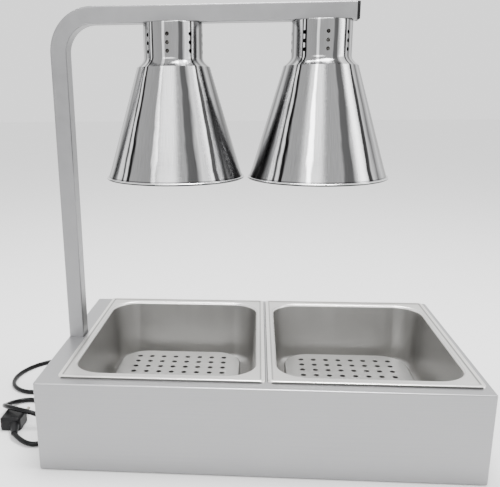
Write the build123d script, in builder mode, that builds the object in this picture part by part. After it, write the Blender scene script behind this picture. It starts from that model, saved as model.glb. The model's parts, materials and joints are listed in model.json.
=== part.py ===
from build123d import *
import os
from math import pi, radians, tan

# Countertop food warmer: two heat lamps hang from a bent arm over two drained food pans that
# sit in a low sheet-metal base. Millimetres; X to the right, Y to the back, Z up. The origin is
# the centre of the base's footprint, at bench level.

os.makedirs("parts", exist_ok=True)

# --- food pans and drain grates -------------------------------------------------------------
pan_width = 265.0  # half-size catering pan, over the rim, X
pan_length = 325.0  # over the rim, Y
pan_depth = 99.0  # from the base's top sheet down to the pan's underside
pan_sheet = 0.8
pan_gap = 2.1  # between the two rims
pan_rim_corner = 8.0
pan_rim_rise = 3.0  # rolled edge above the base's top sheet
pan_roll_width = 6.0
pan_flange_drop = 0.8  # flat of the flange below the rolled edge
pan_mouth_width = 239.0
pan_mouth_length = 290.0
pan_mouth_corner = 40.0
pan_mouth_bend = 4.5
pan_wall_taper = 3.5  # degrees
pan_floor_bend = 12.0
pan_seat_clearance = 2.0  # between a pan's wall and its cut-out

grate_side_play = 15.36  # between the grate and the pan's floor, left and right
grate_end_play = 23.36  # the same, front and back
grate_height = 23.0
grate_sheet = 1.0
grate_corner = 42.0
grate_fold = 3.0
grate_hole_radius = 4.2
grate_pitch = 20.0
grate_hole_border = 24.0  # least distance from a hole's centre to the grate's edge
grate_shift = -3.0  # how far the loose grate lies from its pan's middle, X

# --- base -----------------------------------------------------------------------------------
margin_left = 25.8  # base side to the first pan's rim
margin_right = 7.1
margin_front = 17.1
margin_back = 3.9
base_height = 122.0  # bench to the top sheet
base_sheet = 1.0
base_corner = 3.5
base_fold = 2.0
base_flange = 20.0  # inward fold along the bottom
foot_height = 2.0
foot_radius = 8.0
foot_stem_radius = 2.5
foot_stem_head = 3.6
plate_sheet = 1.0
plate_clearance = 1.0
screw_radius = 1.75
screw_head_radius = 3.4
screw_head_height = 1.4
screw_length = 6.0
screws_along_front = 4
screws_along_side = 3

# --- bent tube: post and arm ----------------------------------------------------------------
tube_width = 22.0  # in the plane of the bend
tube_depth = 25.0  # Y
tube_wall = 1.2
tube_edge = 2.0
tube_bend = 47.5  # centre line of the bend
arm_top = 580.4
arm_reach = 399.2  # post's left face to the arm's open end
post_foot = 14.0  # lower end of the tube above the bench
post_slot_clearance = 0.3
cap_flange = 4.0
cap_insert = 16.0
cap_wall = 2.0
cap_chamfer = 0.8
cap_clearance = 0.1
bolt_radius = 3.0
bolt_clearance = 0.2
bolt_head_radius = 6.0
bolt_head_height = 3.3
bolt_heights = (45.0, 95.0)
bolt_spare = 2.5
nut_across_flats = 10.0
nut_height = 5.0
wire_hole_radius = 5.0
wire_hole_height = 108.0
grommet_lip = 1.5

# --- lamps ----------------------------------------------------------------------------------
lamp_offsets = {"left": 163.2, "right": 357.2}  # from the post's left face
vent_turns = {"left": -4.0, "right": 6.6}  # degrees, how far each shade is turned
shade_sheet = 1.0
collar_radius = 39.05
collar_drop = 43.4  # underside of the arm to the flare
crease_radius = 48.5
crease_drop = 55.1
skirt_radius = 91.5
skirt_drop = 197.5
lip_radius = 94.7
lip_drop = 201.0
vent_radius = 2.5
vent_drops = (15.9, 26.1, 36.4)
vent_columns = 8
nipple_radius = 5.0
nipple_bore = 3.5
nipple_drop = 17.0
nipple_rise = 7.5
thread_clearance = 0.2
locknut_across_flats = 14.0
locknut_height = 4.0
socket_radius = 21.0
socket_neck_radius = 14.0
socket_neck_height = 9.0
socket_shoulder = 5.0
socket_top_drop = 7.4
socket_height = 46.0
socket_bore_depth = 30.0
shell_radius = 14.2
shell_wall = 0.6
shell_length = 27.0
contact_radius = 4.0
contact_height = 3.0
bulb_cap_radius = 13.2
bulb_cap_length = 23.0
bulb_cap_wall = 0.6
bulb_tip_radius = 5.0
bulb_tip_height = 3.0
bulb_tip_gap = 0.6
bulb_radius = 62.5
bulb_length = 159.0
bulb_neck_radius = 12.4
bulb_glass = 1.2
bulb_flare = 12.5  # how far the bulb has widened at bulb_flare_drop below its cap
bulb_flare_drop = 44.0
bulb_girth_rise = 28.0  # widest ring above the face
bulb_shoulder = 14.0
bulb_dome = 7.0
stem_radius = 4.5
stem_length = 44.0
filament_radius = 7.0
filament_wire = 0.8

# --- electrical fittings on and behind the left side ----------------------------------------
switch_y = 62.0
switch_z = 66.0
switch_length = 30.0  # Z
switch_width = 22.0  # Y
switch_bezel = 2.0
switch_bezel_edge = 1.5  # how far the bezel laps the window all round
switch_depth = 22.0  # body behind the wall
switch_wall = 1.6
switch_tab_length = 7.0
switch_tab_pitch = 8.0
rocker_gap = 0.5
rocker_tilt = 8.0  # degrees each way from level
rocker_rise = 2.6  # pivot ridge beyond the bezel
rocker_thickness = 5.0
gland_y = 134.0
gland_z = 30.0
gland_flange_radius = 10.0
gland_flange = 3.0
gland_neck_radius = 6.5
gland_nut_height = 4.0
gland_root_radius = 6.8
gland_tip_radius = 4.6
gland_tail = 30.0
block_length = 40.0  # Y
block_width = 20.0
block_height = 17.0
block_stand_off = 14.0  # left wall to the block
block_y = 92.0
block_screw_radius = 2.4
block_screw_pitch = 12.0
block_screw_drop = 3.0
harness_radius = 2.8
drop_lead_radius = 2.4
switch_lead_radius = 1.6
earth_stud_radius = 2.0
earth_stud_length = 12.0
earth_stud_y = 160.0
earth_stud_z = 70.0
earth_nut_across_flats = 7.0
earth_nut_height = 3.2

# --- power cord -----------------------------------------------------------------------------
cord_radius = 3.5
coil_x = -329.0
coil_y = 108.0
coil_turn_radius = 35.0  # middle of the turns
coil_bundle = 14.0  # two cords wide and two high
coil_edge = 3.4
lead_in_points = [(-336, 134, 27.5), (-355, 127, 19), (-366, 110, 12), (-363.5, 91, 10.5)]
tail_points = [
    (-290.5, 114, 3.5),
    (-291, 137, 3.5),
    (-304, 161, 3.5),
    (-330, 175, 3.5),
    (-361, 170, 3.5),
    (-389, 152, 3.5),
    (-408, 124, 3.5),
    (-415, 92, 3.5),
    (-407, 61, 3.5),
    (-384, 40, 3.5),
    (-355, 38, 3.5),
    (-328, 55, 3.5),
    (-300, 53, 3.5),
    (-287, 28, 3.5),
    (-302, 4, 3.5),
    (-332, 3, 3.5),
    (-359, 15, 3.5),
    (-382, 2, 4.5),
    (-385, -27, 13),
    (-377, -49, 24.5),
    (-354, -65, 28.5),
    (-327, -69, 25),
    (-304, -66, 14),
    (-285, -86, 7),
    (-293, -115, 3.5),
    (-322, -122, 4.5),
    (-343, -101, 8.5),
]
tie_width = 9.0
tie_thickness = 1.2

# angled plug at the cord's end: its body lies flat, the pins point to the back
plug_x = -358.0
plug_y = -63.0
plug_width = 30.0
plug_length = 34.0
plug_height = 20.0
plug_edge = 5.0
plug_relief_root = (-352.5, -74.0)
plug_relief_root_radius = 7.0
plug_relief_tip_radius = 4.4
pin_length = 19.0
pin_radius = 2.4
pin_pitch = 19.0
pin_root = 6.0

# --- derived places -------------------------------------------------------------------------
base_width = margin_left + 2 * pan_width + pan_gap + margin_right
base_depth = margin_front + pan_length + margin_back
left_side = -base_width / 2
left_wall_inside = left_side + base_sheet
pan_y = -base_depth / 2 + margin_front + pan_length / 2
first_pan_x = left_side + margin_left + pan_width / 2
pan_centres = {"left": first_pan_x, "right": first_pan_x + pan_width + pan_gap}
post_left = left_wall_inside
post_x = post_left + tube_width / 2
arm_z = arm_top - tube_width / 2
arm_underside = arm_top - tube_width
arm_end = post_left + arm_reach
lamp_centres = {side: post_left + offset for side, offset in lamp_offsets.items()}
pan_underside = base_height - pan_depth
pan_floor = pan_underside + pan_sheet
pan_rim_top = base_height + pan_rim_rise
pan_flange_top = pan_rim_top - pan_flange_drop
pan_wall_lean = (pan_flange_top - pan_floor) * tan(radians(pan_wall_taper))
grate_width = pan_mouth_width - 2 * (pan_wall_lean + grate_side_play)
grate_length = pan_mouth_length - 2 * (pan_wall_lean + grate_end_play)
grate_columns = int((grate_width - 2 * grate_hole_border) / grate_pitch) + 1
grate_rows = int((grate_length - 2 * grate_hole_border) / grate_pitch) + 1
plate_top = foot_height + base_sheet + plate_sheet


def finish(part, name):
    """Labels one finished piece and writes its STEP file."""
    part.label = name
    export_step(part, f"parts/{name}.step")


# --- base shell: folded box, open below inside its flange -----------------------------------
with BuildPart() as base_cavity:
    with BuildSketch(Plane.XY.offset(foot_height + base_sheet)):
        RectangleRounded(
            base_width - 2 * base_sheet, base_depth - 2 * base_sheet, base_corner - base_sheet
        )
    extrude(amount=base_height - foot_height - 2 * base_sheet)
    fillet(base_cavity.faces().sort_by(Axis.Z)[-1].edges(), base_fold - base_sheet)

with BuildPart() as base_shell:
    with BuildSketch(Plane.XY.offset(foot_height)):
        RectangleRounded(base_width, base_depth, base_corner)
    extrude(amount=base_height - foot_height)
    fillet(base_shell.faces().sort_by(Axis.Z)[-1].edges(), base_fold)
    add(base_cavity.part, mode=Mode.SUBTRACT)
    with BuildSketch(Plane.XY.offset(foot_height)):
        Rectangle(base_width - 2 * base_flange, base_depth - 2 * base_flange)
    extrude(amount=base_sheet, mode=Mode.SUBTRACT)
    # one cut-out for each pan
    cut_width = pan_mouth_width + 2 * (pan_sheet + pan_seat_clearance)
    cut_length = pan_mouth_length + 2 * (pan_sheet + pan_seat_clearance)
    with BuildSketch(Plane.XY.offset(base_height)):
        with Locations(*[(x, pan_y) for x in pan_centres.values()]):
            RectangleRounded(cut_width, cut_length, pan_mouth_corner + pan_seat_clearance)
    extrude(amount=-base_sheet, mode=Mode.SUBTRACT)
    # the post stands against the left wall, through a slot in the top sheet
    with BuildSketch(Plane.XY.offset(base_height)):
        with Locations((post_left, 0)):
            Rectangle(
                tube_width + post_slot_clearance,
                tube_depth + 2 * post_slot_clearance,
                align=(Align.MIN, Align.CENTER),
            )
    extrude(amount=-base_sheet - base_fold, mode=Mode.SUBTRACT)
    # left wall: bolt holes, switch window, gland hole, earth stud hole
    with BuildSketch(Plane.YZ.offset(left_side)):
        with Locations(*[(0, z) for z in bolt_heights]):
            Circle(bolt_radius + bolt_clearance)
        with Locations((switch_y, switch_z)):
            Rectangle(
                switch_width - 2 * switch_bezel_edge, switch_length - 2 * switch_bezel_edge
            )
        with Locations((gland_y, gland_z)):
            Circle(gland_neck_radius)
        with Locations((earth_stud_y, earth_stud_z)):
            Circle(earth_stud_radius)
    extrude(amount=base_sheet, mode=Mode.SUBTRACT)
    # bottom flange: screw and foot holes
    foot_spots = [
        (sx * (base_width / 2 - base_flange / 2 - 1), sy * (base_depth / 2 - base_flange / 2 - 1))
        for sx in (-1, 1)
        for sy in (-1, 1)
    ]
    flange_x = base_width / 2 - base_flange / 2
    flange_y = base_depth / 2 - base_flange / 2
    step_x = 2 * flange_x / (screws_along_front + 1)
    step_y = 2 * flange_y / (screws_along_side + 1)
    screw_spots = [
        (-flange_x + step_x * (i + 1), sy * flange_y)
        for i in range(screws_along_front)
        for sy in (-1, 1)
    ] + [
        (sx * flange_x, -flange_y + step_y * (i + 1))
        for i in range(screws_along_side)
        for sx in (-1, 1)
    ]
    with BuildSketch(Plane.XY.offset(foot_height)):
        with Locations(*foot_spots):
            Circle(foot_stem_radius)
        with Locations(*screw_spots):
            Circle(screw_radius)
    extrude(amount=base_sheet, mode=Mode.SUBTRACT)
finish(base_shell.part, "base_shell")

# --- bottom plate, its screws and the feet --------------------------------------------------
with BuildPart() as bottom_plate:
    with BuildSketch(Plane.XY.offset(foot_height + base_sheet)):
        inset = 2 * (base_sheet + plate_clearance)
        RectangleRounded(base_width - inset, base_depth - inset, base_corner)
        with Locations(*foot_spots):
            Circle(foot_stem_radius, mode=Mode.SUBTRACT)
        with Locations(*screw_spots):
            Circle(screw_radius, mode=Mode.SUBTRACT)
    extrude(amount=plate_sheet)
finish(bottom_plate.part, "bottom_plate")

with BuildPart() as bottom_screws:
    with BuildSketch(Plane.XY.offset(foot_height)):
        with Locations(*screw_spots):
            Circle(screw_head_radius)
    extrude(amount=-screw_head_height)
    fillet(bottom_screws.faces().group_by(Axis.Z)[0].edges(), screw_head_height / 2)
    with BuildSketch(Plane.XY.offset(foot_height)):
        with Locations(*screw_spots):
            Circle(screw_radius)
    extrude(amount=screw_length)
finish(bottom_screws.part, "bottom_screws")

with BuildPart() as rubber_feet:
    with BuildSketch(Plane.XY):
        with Locations(*foot_spots):
            Circle(foot_radius)
    extrude(amount=foot_height)
    with BuildSketch(Plane.XY.offset(foot_height)):
        with Locations(*foot_spots):
            Circle(foot_stem_radius)
    extrude(amount=plate_top - foot_height)
    with BuildSketch(Plane.XY.offset(plate_top)):
        with Locations(*foot_spots):
            Circle(foot_stem_head)
    extrude(amount=foot_stem_radius, taper=30)
finish(rubber_feet.part, "rubber_feet")

# --- bent tube ------------------------------------------------------------------------------
with BuildPart() as lamp_post:
    with BuildLine(Plane.XZ) as tube_path:
        FilletPolyline((post_x, post_foot), (post_x, arm_z), (arm_end, arm_z), radius=tube_bend)
    with BuildSketch(Plane.XY.offset(post_foot)):
        with Locations((post_x, 0)):
            RectangleRounded(tube_width, tube_depth, tube_edge)
            RectangleRounded(
                tube_width - 2 * tube_wall,
                tube_depth - 2 * tube_wall,
                tube_edge - tube_wall,
                mode=Mode.SUBTRACT,
            )
    sweep()
    # bolt holes through both side walls
    with BuildSketch(Plane.YZ.offset(post_left)):
        with Locations(*[(0, z) for z in bolt_heights]):
            Circle(bolt_radius + bolt_clearance)
    extrude(amount=tube_width, mode=Mode.SUBTRACT)
    # wire hole in the rear wall
    with BuildSketch(Plane.XZ.offset(-tube_depth / 2)):
        with Locations((post_x, wire_hole_height)):
            Circle(wire_hole_radius)
    extrude(amount=tube_wall, mode=Mode.SUBTRACT)
    # nipple holes in the arm's lower wall
    with BuildSketch(Plane.XY.offset(arm_underside)):
        with Locations(*[(x, 0) for x in lamp_centres.values()]):
            Circle(nipple_radius + thread_clearance)
    extrude(amount=tube_wall, mode=Mode.SUBTRACT)
finish(lamp_post.part, "lamp_post")

with BuildPart() as post_bolts:
    with BuildSketch(Plane.YZ.offset(left_side)):
        with Locations(*[(0, z) for z in bolt_heights]):
            Circle(bolt_head_radius)
    extrude(amount=-bolt_head_height)
    fillet(post_bolts.faces().group_by(Axis.X)[0].edges(), bolt_head_height * 0.6)
    with BuildSketch(Plane.YZ.offset(left_side)):
        with Locations(*[(0, z) for z in bolt_heights]):
            Circle(bolt_radius)
    extrude(amount=base_sheet + tube_width + nut_height + bolt_spare)
finish(post_bolts.part, "post_bolts")

with BuildPart() as post_nuts:
    with BuildSketch(Plane.YZ.offset(post_left + tube_width)):
        with Locations(*[(0, z) for z in bolt_heights]):
            RegularPolygon(nut_across_flats / 2, 6, major_radius=False)
            Circle(bolt_radius, mode=Mode.SUBTRACT)
    extrude(amount=nut_height)
finish(post_nuts.part, "post_nuts")

with BuildPart() as post_grommet:
    rear_face = Plane.XZ.offset(-tube_depth / 2)
    with BuildSketch(rear_face.offset(-grommet_lip)):
        with Locations((post_x, wire_hole_height)):
            Circle(wire_hole_radius + grommet_lip)
    extrude(amount=grommet_lip)
    with BuildSketch(rear_face):
        with Locations((post_x, wire_hole_height)):
            Circle(wire_hole_radius)
    extrude(amount=tube_wall)
    with BuildSketch(rear_face.offset(tube_wall)):
        with Locations((post_x, wire_hole_height)):
            Circle(wire_hole_radius + grommet_lip)
    extrude(amount=grommet_lip)
    with BuildSketch(rear_face.offset(-grommet_lip)):
        with Locations((post_x, wire_hole_height)):
            Circle(harness_radius + thread_clearance)
    extrude(amount=tube_wall + 2 * grommet_lip, mode=Mode.SUBTRACT)
finish(post_grommet.part, "post_grommet")

with BuildPart() as arm_end_cap:
    with BuildSketch(Plane.YZ.offset(arm_end)):
        with Locations((0, arm_z)):
            RectangleRounded(tube_depth, tube_width, tube_edge)
    extrude(amount=cap_flange)
    chamfer(arm_end_cap.faces().sort_by(Axis.X)[-1].edges(), cap_chamfer)
    insert_depth = tube_depth - 2 * (tube_wall + cap_clearance)
    insert_width = tube_width - 2 * (tube_wall + cap_clearance)
    with BuildSketch(Plane.YZ.offset(arm_end)):
        with Locations((0, arm_z)):
            RectangleRounded(insert_depth, insert_width, tube_edge - tube_wall)
            Rectangle(
                insert_depth - 2 * cap_wall, insert_width - 2 * cap_wall, mode=Mode.SUBTRACT
            )
    extrude(amount=-cap_insert)
finish(arm_end_cap.part, "arm_end_cap")

# --- lamps ----------------------------------------------------------------------------------
shade_top = arm_underside
socket_top = shade_top - socket_top_drop
socket_mouth = socket_top - socket_height
shell_top = socket_mouth + socket_bore_depth
contact_face = shell_top - shell_wall - contact_height
bulb_tip = contact_face - bulb_tip_gap
bulb_cap_top = bulb_tip - bulb_tip_height
bulb_cap_mouth = bulb_cap_top - bulb_cap_length
bulb_face = bulb_tip - bulb_length

for side, lamp_x in lamp_centres.items():
    axis_plane = Plane.XZ.move(Location((lamp_x, 0, 0)))
    lamp_axis = Axis((lamp_x, 0, 0), (0, 0, 1))

    # spun shade: closed top, collar, flare to a crease, straight skirt and a rolled lip
    with BuildPart() as shade:
        with BuildSketch(axis_plane):
            with BuildLine():
                outline = Polyline(
                    (nipple_radius + thread_clearance, shade_top),
                    (collar_radius, shade_top),
                    (collar_radius, shade_top - collar_drop),
                )
                flare = ThreePointArc(
                    (collar_radius, shade_top - collar_drop),
                    (collar_radius + 2.3, shade_top - collar_drop - 7.2),
                    (crease_radius, shade_top - crease_drop),
                )
                Polyline(
                    (crease_radius, shade_top - crease_drop),
                    (skirt_radius, shade_top - skirt_drop),
                    (lip_radius, shade_top - lip_drop),
                )
                offset(amount=shade_sheet, side=Side.RIGHT)
            make_face()
        revolve(axis=lamp_axis)
        # vent holes, in upright columns of three round the collar
        with Locations(Location((lamp_x, 0, 0), (0, 0, vent_turns[side]))):
            for drop in vent_drops:
                with PolarLocations(collar_radius, vent_columns, start_angle=-90):
                    with Locations(Location((0, 0, shade_top - drop), (0, 90, 0))):
                        Cylinder(vent_radius, 8 * shade_sheet, mode=Mode.SUBTRACT)
    finish(shade.part, f"{side}_shade")

    # hollow threaded nipple and its two locknuts
    with BuildPart() as nipple:
        with BuildSketch(Plane.XY.offset(shade_top - nipple_drop)):
            with Locations((lamp_x, 0)):
                Circle(nipple_radius)
                Circle(nipple_bore, mode=Mode.SUBTRACT)
        extrude(amount=nipple_drop + nipple_rise)
    finish(nipple.part, f"{side}_nipple")

    with BuildPart() as locknuts:
        for nut_foot in (arm_underside + tube_wall, shade_top - shade_sheet - locknut_height):
            with BuildSketch(Plane.XY.offset(nut_foot)):
                with Locations((lamp_x, 0)):
                    RegularPolygon(locknut_across_flats / 2, 6, major_radius=False)
                    Circle(nipple_radius, mode=Mode.SUBTRACT)
            extrude(amount=locknut_height)
    finish(locknuts.part, f"{side}_locknuts")

    # ceramic lamp holder with its screw shell and centre contact
    with BuildPart() as socket:
        with BuildSketch(axis_plane):
            with BuildLine():
                Polyline(
                    (nipple_radius, socket_top),
                    (socket_neck_radius, socket_top),
                    (socket_neck_radius, socket_top - socket_neck_height),
                    (socket_radius, socket_top - socket_neck_height - socket_shoulder),
                    (socket_radius, socket_mouth),
                    (shell_radius, socket_mouth),
                    (shell_radius, shell_top),
                    (nipple_radius, shell_top),
                    close=True,
                )
            make_face()
        revolve(axis=lamp_axis)
    finish(socket.part, f"{side}_socket")

    with BuildPart() as screw_shell:
        with BuildSketch(Plane.XY.offset(shell_top - shell_length)):
            with Locations((lamp_x, 0)):
                Circle(shell_radius)
        extrude(amount=shell_length)
        with BuildSketch(Plane.XY.offset(shell_top - shell_length)):
            with Locations((lamp_x, 0)):
                Circle(shell_radius - shell_wall)
        extrude(amount=shell_length - shell_wall, mode=Mode.SUBTRACT)
    finish(screw_shell.part, f"{side}_screw_shell")

    with BuildPart() as centre_contact:
        with BuildSketch(Plane.XY.offset(contact_face)):
            with Locations((lamp_x, 0)):
                Circle(contact_radius)
        extrude(amount=contact_height)
    finish(centre_contact.part, f"{side}_centre_contact")

    # reflector bulb: brass cap, blown glass and the mount inside
    neck_top = bulb_cap_top - bulb_cap_wall
    with BuildPart() as bulb_cap:
        with BuildSketch(Plane.XY.offset(bulb_cap_mouth)):
            with Locations((lamp_x, 0)):
                Circle(bulb_cap_radius)
        extrude(amount=bulb_cap_length)
        with BuildSketch(Plane.XY.offset(bulb_cap_mouth)):
            with Locations((lamp_x, 0)):
                Circle(bulb_neck_radius)
        extrude(amount=bulb_cap_length - bulb_cap_wall, mode=Mode.SUBTRACT)
        with BuildSketch(Plane.XY.offset(bulb_cap_top)):
            with Locations((lamp_x, 0)):
                Circle(bulb_tip_radius)
        extrude(amount=bulb_tip_height)
    finish(bulb_cap.part, f"{side}_bulb_cap")

    with BuildPart() as bulb:
        with BuildSketch(axis_plane):
            with BuildLine():
                for wall in (0, bulb_glass):
                    neck = (bulb_neck_radius - wall, bulb_cap_mouth)
                    girth = (bulb_radius - wall, bulb_face + bulb_girth_rise)
                    shoulder = (bulb_radius - wall - bulb_shoulder, bulb_face + bulb_dome + wall)
                    bottom = (0, bulb_face + wall)
                    Line((neck[0], neck_top), neck)
                    Spline(neck, (neck[0] + bulb_flare, neck[1] - bulb_flare_drop), girth,
                           tangents=[(0, -1), (0, -1)])
                    Spline(girth, shoulder, bottom, tangents=[(0, -1), (-1, 0)])
                Line((bulb_neck_radius, neck_top), (bulb_neck_radius - bulb_glass, neck_top))
                Line((0, bulb_face), (0, bulb_face + bulb_glass))
            make_face()
        revolve(axis=lamp_axis)
    finish(bulb.part, f"{side}_bulb")

    with BuildPart() as filament:
        ring_z = neck_top - stem_length - filament_radius
        with BuildSketch(Plane.XY.offset(neck_top - stem_length)):
            with Locations((lamp_x, 0)):
                Circle(stem_radius)
        extrude(amount=stem_length)
        for turn in (-1, 1):
            with BuildSketch(Plane.XY.offset(ring_z)):
                with Locations((lamp_x + turn * stem_radius / 2, 0)):
                    Circle(filament_wire)
            extrude(amount=filament_radius)
        with Locations((lamp_x, filament_radius, ring_z)):
            Torus(filament_radius, filament_wire)
    finish(filament.part, f"{side}_filament")

# --- pans and grates ------------------------------------------------------------------------
def mouth_edges(builder, middle, height):
    """The edges round a pan's mouth at one height, without those out at its rolled rim."""
    level = builder.edges().filter_by_position(Axis.Z, height - 0.01, height + 0.01)
    reach_x = pan_mouth_width / 2 + 2 * pan_sheet
    reach_y = pan_mouth_length / 2 + 2 * pan_sheet
    return level.filter_by_position(Axis.X, middle - reach_x, middle + reach_x).filter_by_position(
        Axis.Y, pan_y - reach_y, pan_y + reach_y
    )


for side, pan_x in pan_centres.items():
    with BuildPart() as pan:
        with BuildSketch(Plane.XY.offset(pan_flange_top)):
            with Locations((pan_x, pan_y)):
                RectangleRounded(
                    pan_mouth_width + 2 * pan_sheet,
                    pan_mouth_length + 2 * pan_sheet,
                    pan_mouth_corner + pan_sheet,
                )
        extrude(amount=pan_underside - pan_flange_top, taper=pan_wall_taper)
        fillet(pan.faces().sort_by(Axis.Z)[0].edges(), pan_floor_bend + pan_sheet)
        # flange and its rolled outer edge, which stands on the base
        with BuildSketch(Plane.XY.offset(pan_flange_top - pan_sheet)):
            with Locations((pan_x, pan_y)):
                RectangleRounded(pan_width - 2, pan_length - 2, pan_rim_corner - 1)
        extrude(amount=pan_sheet)
        fillet(mouth_edges(pan, pan_x, pan_flange_top - pan_sheet), pan_mouth_bend - pan_sheet)
    with BuildPart() as pan_roll:
        with BuildSketch(Plane.XY.offset(base_height)):
            with Locations((pan_x, pan_y)):
                RectangleRounded(pan_width, pan_length, pan_rim_corner)
                RectangleRounded(
                    pan_width - 2 * pan_roll_width,
                    pan_length - 2 * pan_roll_width,
                    pan_rim_corner - pan_roll_width + 1,
                    mode=Mode.SUBTRACT,
                )
        extrude(amount=pan_rim_rise)
        top_edges = pan_roll.faces().sort_by(Axis.Z)[-1]
        fillet(top_edges.outer_wire().edges(), pan_rim_rise * 0.8)
    with BuildPart() as pan_hollow:
        with BuildSketch(Plane.XY.offset(pan_flange_top)):
            with Locations((pan_x, pan_y)):
                RectangleRounded(pan_mouth_width, pan_mouth_length, pan_mouth_corner)
        extrude(amount=pan_floor - pan_flange_top, taper=pan_wall_taper)
        fillet(pan_hollow.faces().sort_by(Axis.Z)[0].edges(), pan_floor_bend)
    with BuildPart() as whole_pan:
        add(pan.part)
        add(pan_roll.part)
        add(pan_hollow.part, mode=Mode.SUBTRACT)
        fillet(mouth_edges(whole_pan, pan_x, pan_flange_top), pan_mouth_bend)
    finish(whole_pan.part, f"{side}_pan")

    with BuildPart() as grate:
        grate_x = pan_x + grate_shift
        grate_top = pan_floor + grate_height
        with BuildSketch(Plane.XY.offset(pan_floor)):
            with Locations((grate_x, pan_y)):
                RectangleRounded(grate_width, grate_length, grate_corner)
        extrude(amount=grate_height)
        fillet(grate.faces().sort_by(Axis.Z)[-1].edges(), grate_fold)
        with BuildSketch(Plane.XY.offset(pan_floor)):
            with Locations((grate_x, pan_y)):
                RectangleRounded(
                    grate_width - 2 * grate_sheet,
                    grate_length - 2 * grate_sheet,
                    grate_corner - grate_sheet,
                )
        extrude(amount=grate_height - grate_sheet, mode=Mode.SUBTRACT)
        with BuildSketch(Plane.XY.offset(grate_top)):
            with Locations((grate_x, pan_y)):
                with GridLocations(grate_pitch, grate_pitch, grate_columns, grate_rows):
                    Circle(grate_hole_radius)
        extrude(amount=-grate_sheet, mode=Mode.SUBTRACT)
    finish(grate.part, f"{side}_grate")

# --- rocker switch in the left wall ---------------------------------------------------------
window = Plane.YZ.offset(left_side)
body_length = switch_length - 2 * switch_bezel_edge - 0.4
body_width = switch_width - 2 * switch_bezel_edge - 0.4
well_length = body_length - 2 * switch_wall
well_width = body_width - 2 * switch_wall
well_depth = rocker_thickness + 4.0

with BuildPart() as switch_body:
    with BuildSketch(window):
        with Locations((switch_y, switch_z)):
            RectangleRounded(switch_width, switch_length, switch_bezel)
    extrude(amount=-switch_bezel)
    chamfer(switch_body.faces().sort_by(Axis.X)[0].edges(), 0.6)
    with BuildSketch(window):
        with Locations((switch_y, switch_z)):
            Rectangle(body_width, body_length)
    extrude(amount=switch_depth)
    with BuildSketch(window.offset(-switch_bezel)):
        with Locations((switch_y, switch_z)):
            Rectangle(well_width, well_length)
    extrude(amount=switch_bezel + well_depth, mode=Mode.SUBTRACT)
    # spade terminals
    with BuildSketch(window.offset(switch_depth)):
        with Locations((switch_y, switch_z)):
            with GridLocations(0, switch_tab_pitch, 1, 2):
                Rectangle(4.8, 0.8)
    extrude(amount=switch_tab_length)
finish(switch_body.part, "switch_body")

# the rocker's face is two flats that meet in a ridge over its pivot
pivot_x = left_side - switch_bezel - rocker_rise + rocker_thickness
half = well_length / 2 - rocker_gap
fall = half * tan(radians(rocker_tilt))
with BuildPart() as switch_rocker:
    side_plane = Plane.XZ.offset(-switch_y)
    with BuildSketch(side_plane):
        with BuildLine():
            Polyline(
                (pivot_x - rocker_thickness, switch_z),
                (pivot_x - rocker_thickness + fall, switch_z + half),
                (pivot_x, switch_z + half - 1.5),
                (pivot_x + 1.5, switch_z),
                (pivot_x, switch_z - half + 1.5),
                (pivot_x - rocker_thickness + fall, switch_z - half),
                close=True,
            )
        make_face()
    extrude(amount=well_width / 2 - rocker_gap, both=True)
pivot = Axis((pivot_x, switch_y, switch_z), (0, 1, 0))
rocked = switch_rocker.part.rotate(pivot, rocker_tilt)
finish(rocked, "switch_rocker")

# --- cord gland with its tapered tail, and its inner nut ------------------------------------
with BuildPart() as strain_relief:
    with BuildSketch(window):
        with Locations((gland_y, gland_z)):
            Circle(gland_flange_radius)
    extrude(amount=-gland_flange)
    fillet(strain_relief.faces().sort_by(Axis.X)[0].edges(), gland_flange / 3)
    with BuildSketch(window.offset(-gland_flange)):
        with Locations((gland_y, gland_z)):
            Circle(gland_root_radius)
    with BuildSketch(window.offset(-gland_flange - gland_tail)):
        with Locations((gland_y, gland_z)):
            Circle(gland_tip_radius)
    loft()
    with BuildSketch(window):
        with Locations((gland_y, gland_z)):
            Circle(gland_neck_radius)
    extrude(amount=base_sheet + gland_nut_height + 2)
finish(strain_relief.part, "strain_relief")

with BuildPart() as gland_nut:
    with BuildSketch(Plane.YZ.offset(left_wall_inside)):
        with Locations((gland_y, gland_z)):
            RegularPolygon(gland_neck_radius + 3, 6, major_radius=False)
            Circle(gland_neck_radius, mode=Mode.SUBTRACT)
    extrude(amount=gland_nut_height)
finish(gland_nut.part, "gland_nut")

# --- terminal block, earth stud and inner wiring --------------------------------------------
block_x = left_wall_inside + block_stand_off + block_width / 2
block_top = plate_top + block_height
with BuildPart() as terminal_block:
    with BuildSketch(Plane.XY.offset(plate_top)):
        with Locations((block_x, block_y)):
            RectangleRounded(block_width, block_length, 1.5)
    extrude(amount=block_height)
    chamfer(terminal_block.faces().sort_by(Axis.Z)[-1].edges(), 1)
    with BuildSketch(Plane.XY.offset(block_top)):
        with Locations((block_x, block_y)):
            with GridLocations(0, block_screw_pitch, 1, 3):
                Circle(block_screw_radius)
    extrude(amount=-block_screw_drop, mode=Mode.SUBTRACT)
finish(terminal_block.part, "terminal_block")

with BuildPart() as terminal_screws:
    with BuildSketch(Plane.XY.offset(block_top - block_screw_drop)):
        with Locations((block_x, block_y)):
            with GridLocations(0, block_screw_pitch, 1, 3):
                Circle(block_screw_radius)
                SlotOverall(2 * block_screw_radius - 0.6, 0.7, mode=Mode.SUBTRACT)
    extrude(amount=block_screw_drop - 1)
finish(terminal_screws.part, "terminal_screws")

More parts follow.
